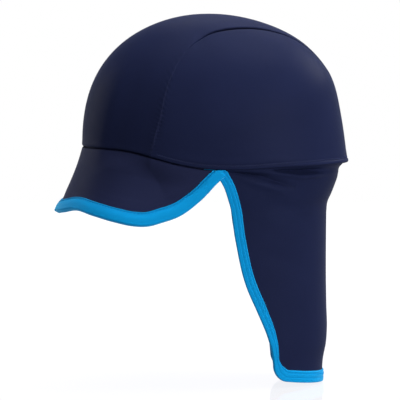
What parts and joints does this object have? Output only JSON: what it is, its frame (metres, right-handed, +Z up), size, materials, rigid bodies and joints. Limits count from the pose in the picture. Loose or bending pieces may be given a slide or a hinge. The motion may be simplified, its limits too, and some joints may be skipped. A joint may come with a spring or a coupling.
{
  "type": "swim cap",
  "caption": "Child's sun-safe swim cap in stretch cloth, with a soft bound peak at the front and a bound neck flap that hangs from the rim.",
  "frame": {"origin": "on the head's middle line, at the level where the crown is widest, 16 mm above the lowest point of the rim", "axes": "+Z up through the top of the crown, -Y towards the peak at the front, +X towards the cap's own left side"},
  "size_m": [0.1542, 0.201, 0.2529],
  "materials": {
    "navy_cloth": "matt navy stretch knit with a faint sheen",
    "blue_tape": "bright blue knitted binding tape, soft and matt"
  },
  "bodies": {
    "root": {"crown_front_panel": "navy_cloth", "crown_side_left": "navy_cloth", "crown_side_right": "navy_cloth", "peak": "navy_cloth", "peak_binding": "blue_tape", "neck_flap": "navy_cloth", "flap_binding": "blue_tape"}
  },
  "joints": []
}
